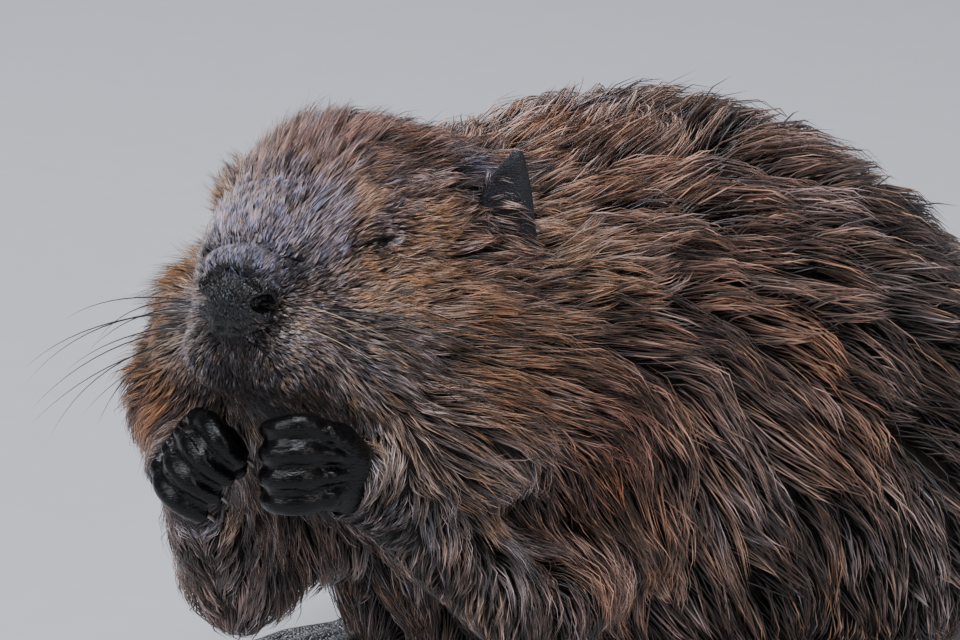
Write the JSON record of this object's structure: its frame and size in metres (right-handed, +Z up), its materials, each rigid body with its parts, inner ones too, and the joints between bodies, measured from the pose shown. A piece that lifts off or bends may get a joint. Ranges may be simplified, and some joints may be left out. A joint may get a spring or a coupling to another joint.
{
  "type": "beaver",
  "caption": "Life-size still beaver, crouched on its belly and hind feet with both hands held under its chin, flat scaly tail out behind.",
  "frame": {"origin": "on the floor, on the flat of the belly, in the plane of symmetry", "axes": "+Z up, +Y from nose to tail, so the beaver faces -Y; +X to its left"},
  "size_m": [0.335, 0.9041, 0.2976],
  "materials": {
    "coat": "wet brown fur: long pointed guard-hair locks with red-brown to golden tips over a dark grey-brown undercoat",
    "bare_skin": "wet, glossy blue-black skin of nose, ears, hands and feet",
    "tail_skin": "dark grey-brown leathery skin with overlapping scales, satin",
    "claw_horn": "dark brown translucent horn, glossy",
    "eyeball": "near-black wet eye"
  },
  "bodies": {
    "root": {"claw_left_foot_1": "claw_horn", "claw_left_foot_2": "claw_horn", "claw_left_foot_3": "claw_horn", "claw_left_foot_4": "claw_horn", "claw_left_foot_5": "claw_horn", "claw_left_hand_1": "claw_horn", "claw_left_hand_2": "claw_horn", "claw_left_hand_3": "claw_horn", "claw_left_hand_4": "claw_horn", "claw_right_foot_1": "claw_horn", "claw_right_foot_2": "claw_horn", "claw_right_foot_3": "claw_horn", "claw_right_foot_4": "claw_horn", "claw_right_foot_5": "claw_horn", "claw_right_hand_1": "claw_horn", "claw_right_hand_2": "claw_horn", "claw_right_hand_3": "claw_horn", "claw_right_hand_4": "claw_horn", "ear_left": "bare_skin", "ear_right": "bare_skin", "eye_left": "eyeball", "eye_right": "eyeball", "foreleg_left": "coat", "foreleg_right": "coat", "hand_left": "bare_skin", "hand_right": "bare_skin", "haunch_left": "coat", "haunch_right": "coat", "head": "coat", "hind_foot_left": "bare_skin", "hind_foot_right": "bare_skin", "neck": "coat", "nose": "bare_skin", "tail": "tail_skin", "tail_root": "coat", "trunk": "coat"}
  },
  "joints": []
}
